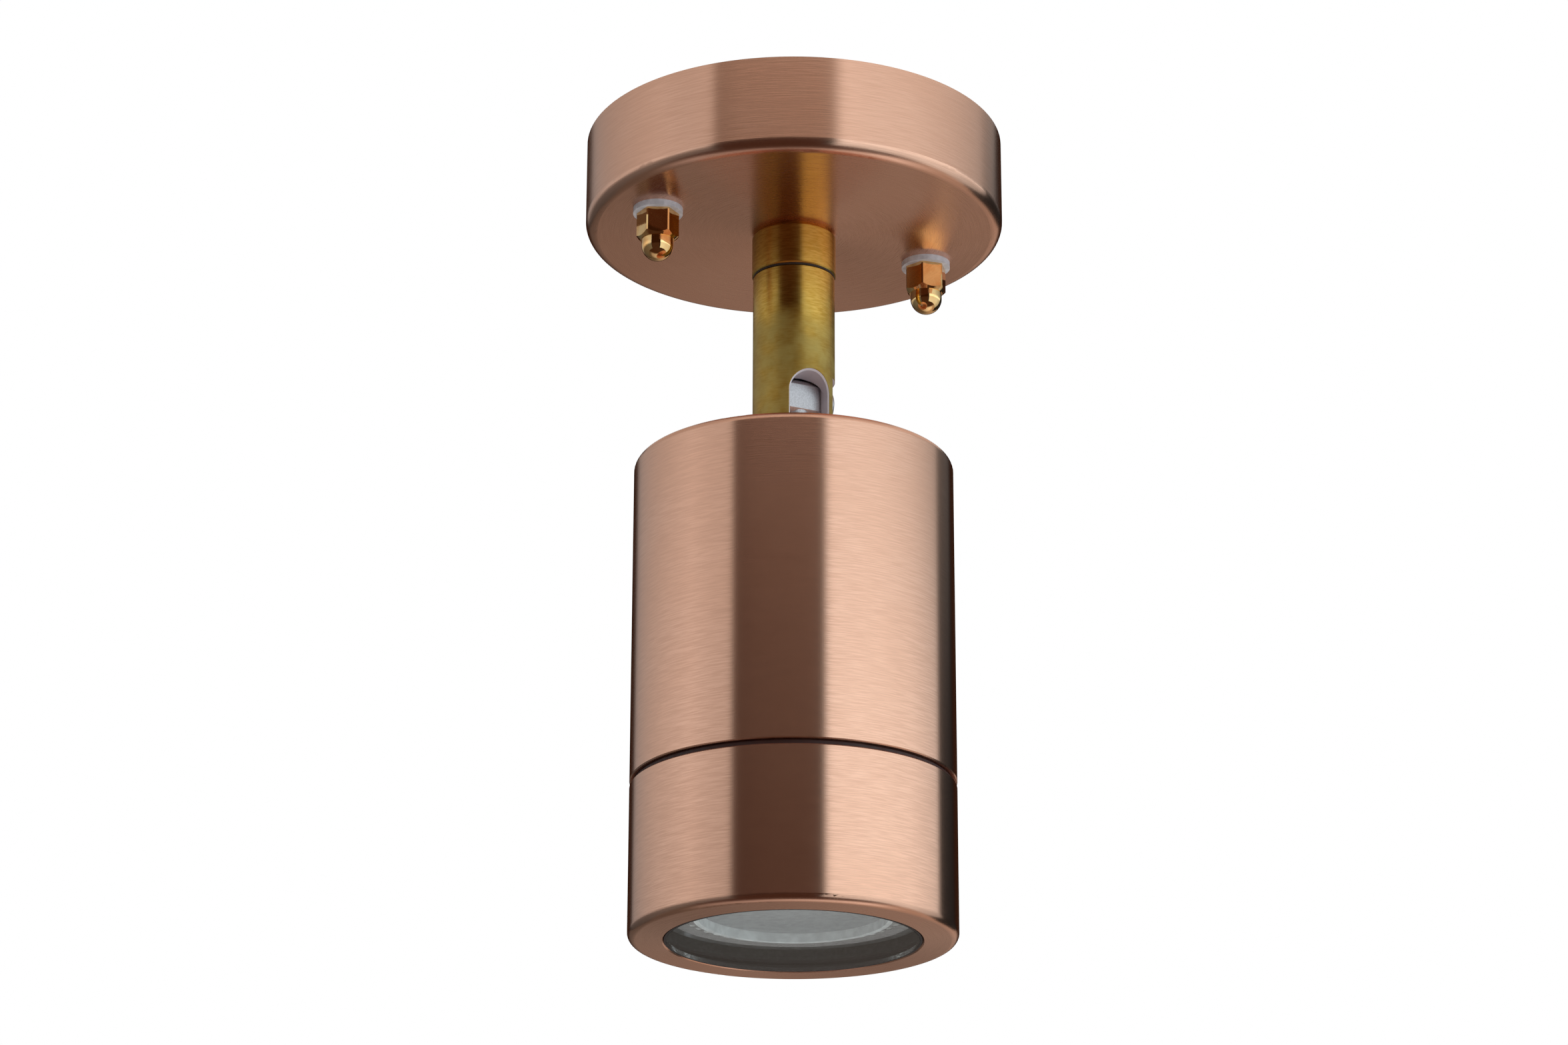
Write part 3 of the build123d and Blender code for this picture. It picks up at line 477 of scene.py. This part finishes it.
def make_right_panel():
    dark = [(17, 0.0), (20, 0.0), (24, 0.9), (86, 0.8), (118, 0.45), (122, 0.02), (150, 0.02)]
    low = [(17, 0.0), (20, 0.0), (24, 1.45), (45, 1.58), (86, 1.6), (118, 1.1), (122, 0.02), (150, 0.02)]
    ring = [
        (17, 0.0), (20, 0.0), (24, 1.1), (41, 1.2), (62, 1.14), (86, 0.8), (119, 0.4), (123, 0.03),
        (150, 0.02),
    ]
    head = [(17, 0.0), (20, 0.0), (27, 0.82), (62, 0.76), (86, 0.55), (121, 0.32), (125, 0.14), (150, 0.12)]
    high = [(17, 0.0), (27, 0.93), (50, 0.92), (86, 0.78), (108, 0.58), (124, 0.45), (150, 0.3)]
    rows = [
        (floor_height, dark), (0.02, dark), (0.14, low), (0.2, low), (0.28, ring), (0.35, head), (0.5, head),
        (panel_top, high),
    ]
    curved_panel("right_panel", (1.0, 1.13, 1.19, 1), rows)


def make_top_panel():
    overhead = [(-180, 0.5), (-60, 0.5), (-30, 0.9), (18, 1.0), (45, 0.75), (180, 0.6)]
    curved_panel("top_panel", (1.0, 0.9, 0.82, 1), [(panel_top, overhead), (overhead_top, overhead)])


def make_floor():
    """Pale floor that looks near white to the camera and gives the lamp's face a little light from below."""
    mesh = bpy.data.meshes.new("floor")
    half = floor_half_width
    corners = [(-half, -half), (half, -half), (half, half), (-half, half)]
    mesh.from_pydata([(x, y, floor_height) for x, y in corners], [], [(0, 1, 2, 3)])
    floor = bpy.data.objects.new("floor", mesh)
    material, tree, shader = new_material("floor", roughness=0.8)
    shader.inputs["Base Color"].default_value = (0.82, 0.82, 0.81, 1)
    shader.inputs["Emission Color"].default_value = (0.97, 1.0, 1.0, 1)
    glow = ramp(tree, seen_straight(tree), 0.0, 1.0, low_result=floor_glow, high_result=floor_seen_glow)
    feed(tree, shader, "Emission Strength", glow)
    mesh.materials.append(material)
    floor.visible_glossy = False
    bpy.context.scene.collection.objects.link(floor)


def make_sky():
    """White to the camera and through glass. The metal mirrors a dark band low down on the camera's side, a
    warm glow low down behind the object, a pale table straight below it and a pale sky."""
    glow_left = (0.125, 0.107, 0.092, 1)
    glow_right = (0.45, 0.37, 0.315, 1)
    table_left = (0.42, 0.38, 0.37, 1)
    table_right = (1.0, 0.96, 0.94, 1)
    dark_floor = (0.06, 0.03, 0.02, 1)
    dark_band = (0.03, 0.011, 0.005, 1)
    pale_sky = (0.5, 0.48, 0.47, 1)
    world = bpy.data.worlds.new("studio")
    bpy.context.scene.world = world
    world.use_nodes = True
    tree = world.node_tree
    tree.nodes.clear()
    direction = add(tree, "ShaderNodeTexCoord").outputs["Generated"]
    height = z_of(tree, direction)
    away = (-cos(camera_side), -sin(camera_side), 0)
    across = (-sin(camera_side), cos(camera_side), 0)
    behind = vector_math(tree, "DOT_PRODUCT", direction, away, result="Value")
    right = vector_math(tree, "DOT_PRODUCT", direction, across, result="Value")
    glow = mix_color(tree, ramp(tree, right, -0.25, 0.35), glow_left, glow_right)
    table = mix_color(tree, ramp(tree, right, -0.4, 0.5), table_left, table_right)
    glow = mix_color(tree, ramp(tree, height, -0.72, -0.92), glow, table)
    below = mix_color(tree, ramp(tree, behind, -0.2, 0.05), dark_floor, glow)
    low = mix_color(tree, ramp(tree, height, -0.12, 0.02), below, dark_band)
    sky = mix_color(tree, ramp(tree, height, 0.6, 0.75), low, pale_sky)
    mirrored = add(tree, "ShaderNodeBackground", {"Color": sky, "Strength": 1.0}).outputs[0]
    white = add(tree, "ShaderNodeBackground", {"Color": (1, 1, 1, 1), "Strength": 1.0}).outputs[0]
    both = mix_shader(tree, seen_straight(tree), mirrored, white)
    add(tree, "ShaderNodeOutputWorld", {"Surface": both})


make_camera()
dress()
make_left_panel()
make_right_panel()
make_top_panel()
make_floor()
make_sky()
bpy.context.scene.view_settings.view_transform = "Standard"
